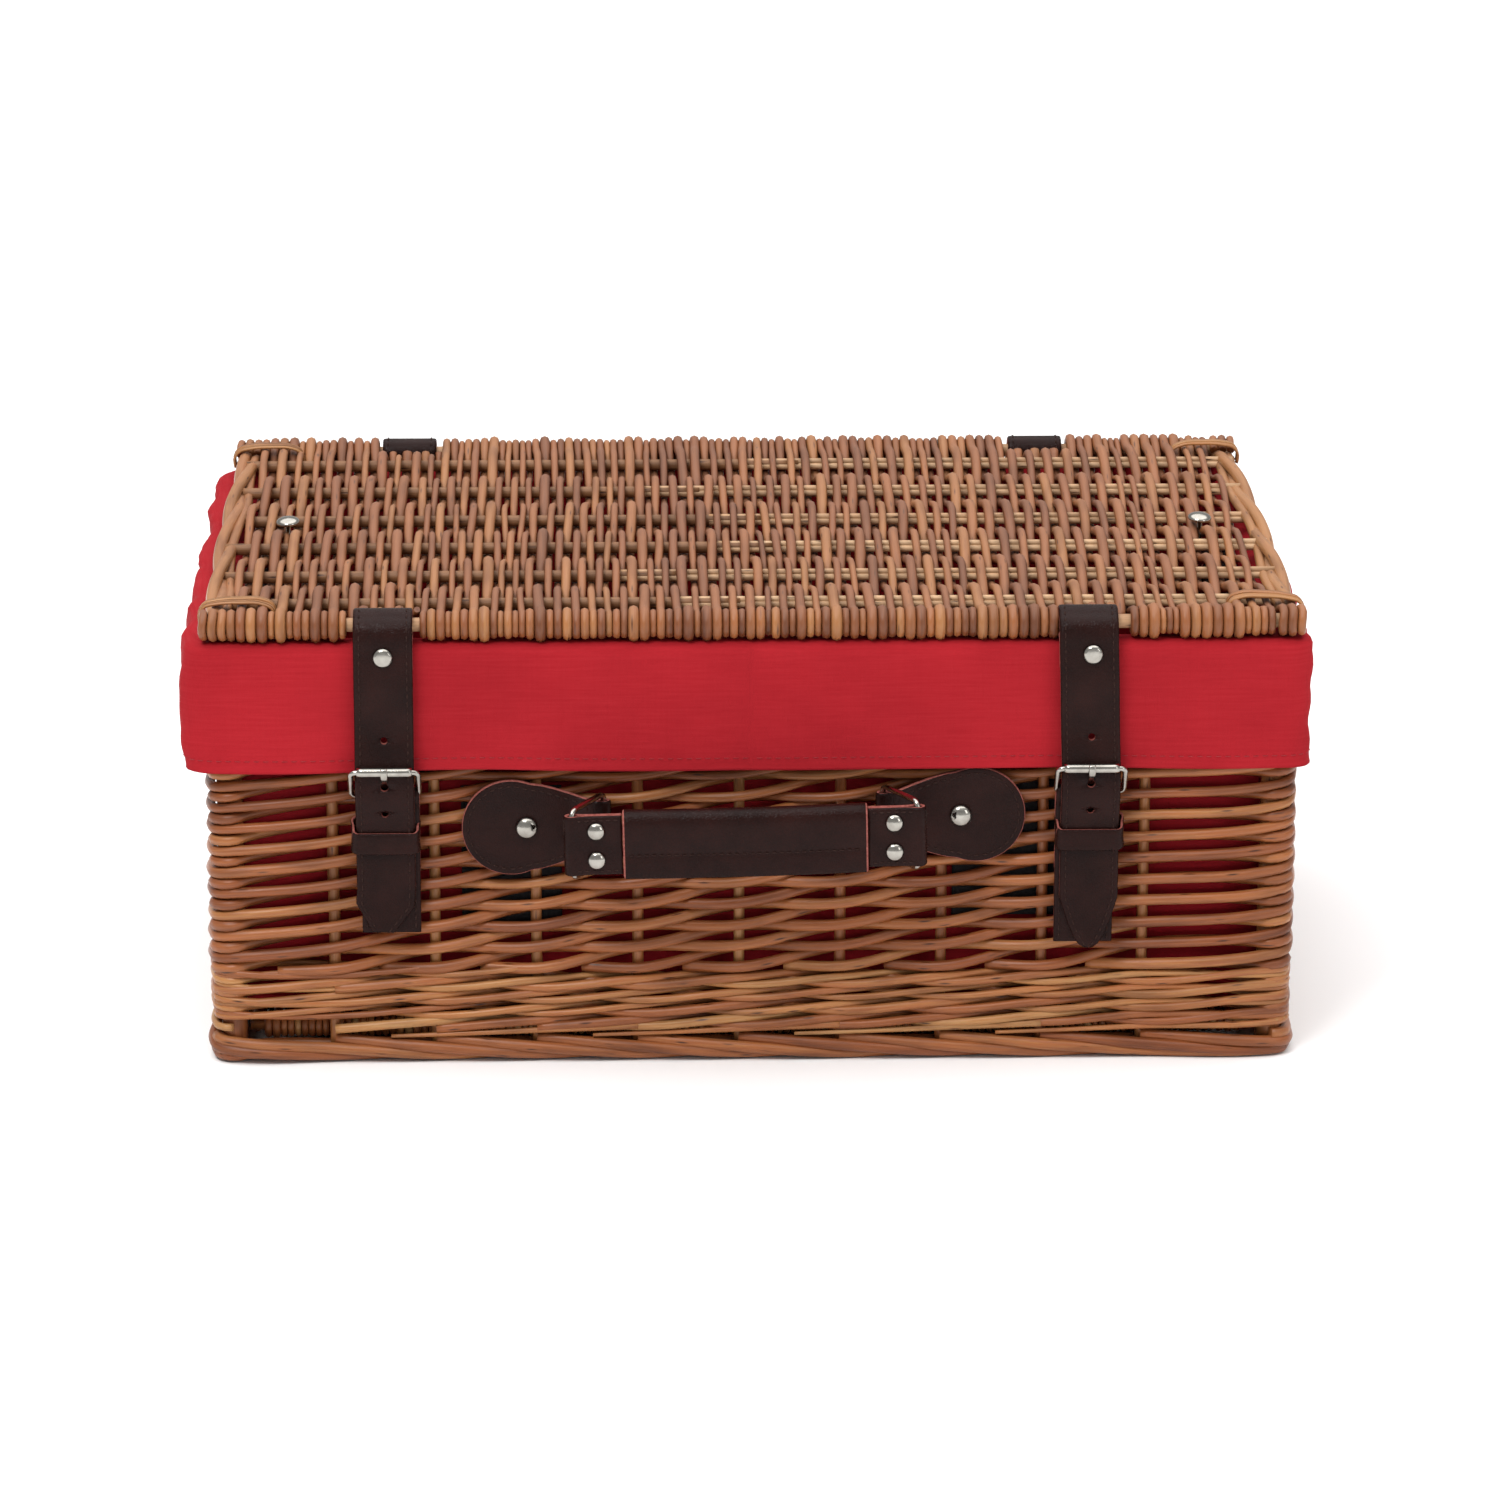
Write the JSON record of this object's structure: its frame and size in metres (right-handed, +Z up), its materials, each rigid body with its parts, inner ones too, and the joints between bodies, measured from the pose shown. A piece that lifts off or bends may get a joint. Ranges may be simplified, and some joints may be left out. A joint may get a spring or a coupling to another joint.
{
  "type": "wicker picnic basket",
  "caption": "Rectangular willow picnic basket with a hinged woven lid, red cotton liner with turned-down cuff, buckled leather straps and a leather carrying handle.",
  "frame": {"origin": "centre of the footprint of the whole object, at the surface it stands on", "axes": "+X to the right seen from the front, +Y to the back, +Z up; the straps and the handle are on the -Y side"},
  "size_m": [0.466, 0.3434, 0.2017],
  "materials": {
    "willow": "stained and varnished willow rods, satin",
    "pale_willow": "bare willow sticks, satin",
    "red_cotton": "plain woven cotton, matt",
    "brown_leather": "dark brown bonded leather with pinkish cut edges, semi-gloss",
    "nickel": "nickel plated, polished"
  },
  "bodies": {
    "basket": {"foot_border": "willow", "base_weave": "willow", "front_wall_weave": "willow", "back_wall_weave": "willow", "left_wall_weave": "willow", "right_wall_weave": "willow", "corner_post_front_left": "willow", "corner_post_back_left": "willow", "corner_post_front_right": "willow", "corner_post_back_right": "willow", "rim_border": "willow", "liner": "red_cotton", "escutcheon_left": "brown_leather", "escutcheon_stud_left": "nickel", "lower_strap_left": "brown_leather", "strap_keeper_left": "brown_leather", "hinge_leather_left": "brown_leather", "hinge_rivet_left": "nickel", "stay_wall_rivet_left": "nickel", "escutcheon_right": "brown_leather", "escutcheon_stud_right": "nickel", "lower_strap_right": "brown_leather", "strap_keeper_right": "brown_leather", "hinge_leather_right": "brown_leather", "hinge_rivet_right": "nickel", "stay_wall_rivet_right": "nickel"},
    "lid": {"lid_weave": "willow", "lid_front_stick": "pale_willow", "lid_back_stick": "pale_willow", "lid_inner_stick_1": "pale_willow", "lid_inner_stick_2": "pale_willow", "lid_inner_stick_3": "pale_willow", "lid_inner_stick_4": "pale_willow", "lid_inner_stick_5": "pale_willow", "lid_inner_stick_6": "pale_willow", "lid_rivet_left": "nickel", "lid_rivet_right": "nickel"},
    "strap_left": {"strap_left": "brown_leather", "strap_stud_left": "nickel"},
    "strap_right": {"strap_right": "brown_leather", "strap_stud_right": "nickel"},
    "buckle_left": {"buckle_frame_left": "nickel"},
    "roller_left": {"buckle_roller_left": "nickel"},
    "prong_left": {"buckle_prong_left": "nickel"},
    "buckle_right": {"buckle_frame_right": "nickel"},
    "roller_right": {"buckle_roller_right": "nickel"},
    "prong_right": {"buckle_prong_right": "nickel"},
    "handle": {"handle_grip": "brown_leather"},
    "handle_ring_left": {"handle_ring_left": "nickel"},
    "handle_tab_left": {"handle_tab_left": "brown_leather", "handle_rivet_left_lower": "nickel", "handle_rivet_left_upper": "nickel"},
    "handle_ring_right": {"handle_ring_right": "nickel"},
    "handle_tab_right": {"handle_tab_right": "brown_leather", "handle_rivet_right_lower": "nickel", "handle_rivet_right_upper": "nickel"},
    "stay_upper_left": {"stay_upper_left": "brown_leather"},
    "stay_lower_left": {"stay_lower_left": "brown_leather"},
    "stay_upper_right": {"stay_upper_right": "brown_leather"},
    "stay_lower_right": {"stay_lower_right": "brown_leather"}
  },
  "joints": [
    {"name": "lid_hinge", "type": "hinge", "parent": "basket", "child": "lid", "pos_m": [0, 0.15982, 0.191], "axis": [-1, 0, 0], "range_deg": [0, 100]},
    {"name": "strap_left_hang", "type": "hinge", "parent": "lid", "child": "strap_left", "pos_m": [-0.153, -0.13619, 0.191], "axis": [1, 0, 0], "range_deg": [0, 88], "deforming": ["strap_left"]},
    {"name": "strap_right_hang", "type": "hinge", "parent": "lid", "child": "strap_right", "pos_m": [0.14, -0.13619, 0.191], "axis": [1, 0, 0], "range_deg": [0, 88], "deforming": ["strap_right"]},
    {"name": "buckle_left_tilt", "type": "hinge", "parent": "basket", "child": "buckle_left", "pos_m": [-0.153, -0.14458, 0.12], "axis": [1, 0, 0], "range_deg": [0, 50]},
    {"name": "prong_left_lift", "type": "hinge", "parent": "buckle_left", "child": "prong_left", "pos_m": [-0.153, -0.14458, 0.12], "axis": [1, 0, 0], "range_deg": [0, 60]},
    {"name": "roller_left_spin", "type": "hinge", "parent": "buckle_left", "child": "roller_left", "pos_m": [-0.153, -0.15199, 0.132], "axis": [1, 0, 0], "continuous": true},
    {"name": "buckle_right_tilt", "type": "hinge", "parent": "basket", "child": "buckle_right", "pos_m": [0.14, -0.14458, 0.12], "axis": [1, 0, 0], "range_deg": [0, 50]},
    {"name": "prong_right_lift", "type": "hinge", "parent": "buckle_right", "child": "prong_right", "pos_m": [0.14, -0.14458, 0.12], "axis": [1, 0, 0], "range_deg": [0, 60]},
    {"name": "roller_right_spin", "type": "hinge", "parent": "buckle_right", "child": "roller_right", "pos_m": [0.14, -0.15199, 0.132], "axis": [1, 0, 0], "continuous": true},
    {"name": "handle_pull", "type": "slide", "parent": "basket", "child": "handle", "axis": [0, -1, 0], "range_m": [0, 0.023]},
    {"name": "handle_tab_left_bend", "type": "hinge", "parent": "handle", "child": "handle_tab_left", "pos_m": [-0.05449, -0.16722, 0.1054], "axis": [0.0237, 0, -0.9997], "range_deg": [0, 69.13], "deforming": ["handle_tab_left"]},
    {"name": "handle_ring_left_swing", "type": "hinge", "parent": "basket", "child": "handle_ring_left", "pos_m": [-0.06198, -0.14269, 0.10522], "axis": [-0.0237, 0, 0.9997], "range_deg": [0, 28.88]},
    {"name": "handle_tab_right_bend", "type": "hinge", "parent": "handle", "child": "handle_tab_right", "pos_m": [0.04649, -0.16722, 0.1078], "axis": [-0.0237, 0, 0.9997], "range_deg": [0, 69.13], "deforming": ["handle_tab_right"]},
    {"name": "handle_ring_right_swing", "type": "hinge", "parent": "basket", "child": "handle_ring_right", "pos_m": [0.05398, -0.14269, 0.10798], "axis": [0.0237, 0, -0.9997], "range_deg": [0, 28.88]},
    {"name": "stay_upper_left_swing", "type": "hinge", "parent": "lid", "child": "stay_upper_left", "pos_m": [-0.206, 0.00481, 0.1825], "axis": [1, 0, 0], "range_deg": [0, 105.2], "deforming": ["stay_upper_left"]},
    {"name": "stay_lower_left_unfold", "type": "hinge", "parent": "stay_upper_left", "child": "stay_lower_left", "pos_m": [-0.206, -0.03093, 0.13123], "axis": [-1, 0, 0], "range_deg": [0, 108.1], "deforming": ["stay_lower_left"]},
    {"name": "stay_upper_right_swing", "type": "hinge", "parent": "lid", "child": "stay_upper_right", "pos_m": [0.206, 0.00481, 0.1825], "axis": [1, 0, 0], "range_deg": [0, 105.2], "deforming": ["stay_upper_right"]},
    {"name": "stay_lower_right_unfold", "type": "hinge", "parent": "stay_upper_right", "child": "stay_lower_right", "pos_m": [0.206, -0.03093, 0.13123], "axis": [-1, 0, 0], "range_deg": [0, 108.1], "deforming": ["stay_lower_right"]}
  ],
  "couplings": [
    {"joint": "strap_left_hang", "follows": "lid_hinge", "ratio": 0.88},
    {"joint": "strap_right_hang", "follows": "lid_hinge", "ratio": 0.88},
    {"joint": "handle_tab_left_bend", "follows": "handle_pull", "rad_per_m": 52.417},
    {"joint": "handle_ring_left_swing", "follows": "handle_pull", "rad_per_m": 21.874},
    {"joint": "handle_tab_right_bend", "follows": "handle_pull", "rad_per_m": 52.417},
    {"joint": "handle_ring_right_swing", "follows": "handle_pull", "rad_per_m": 21.874},
    {"joint": "stay_upper_left_swing", "follows": "lid_hinge", "ratio": 1.0515},
    {"joint": "stay_lower_left_unfold", "follows": "lid_hinge", "ratio": 1.0804},
    {"joint": "stay_upper_right_swing", "follows": "lid_hinge", "ratio": 1.0515},
    {"joint": "stay_lower_right_unfold", "follows": "lid_hinge", "ratio": 1.0804}
  ]
}
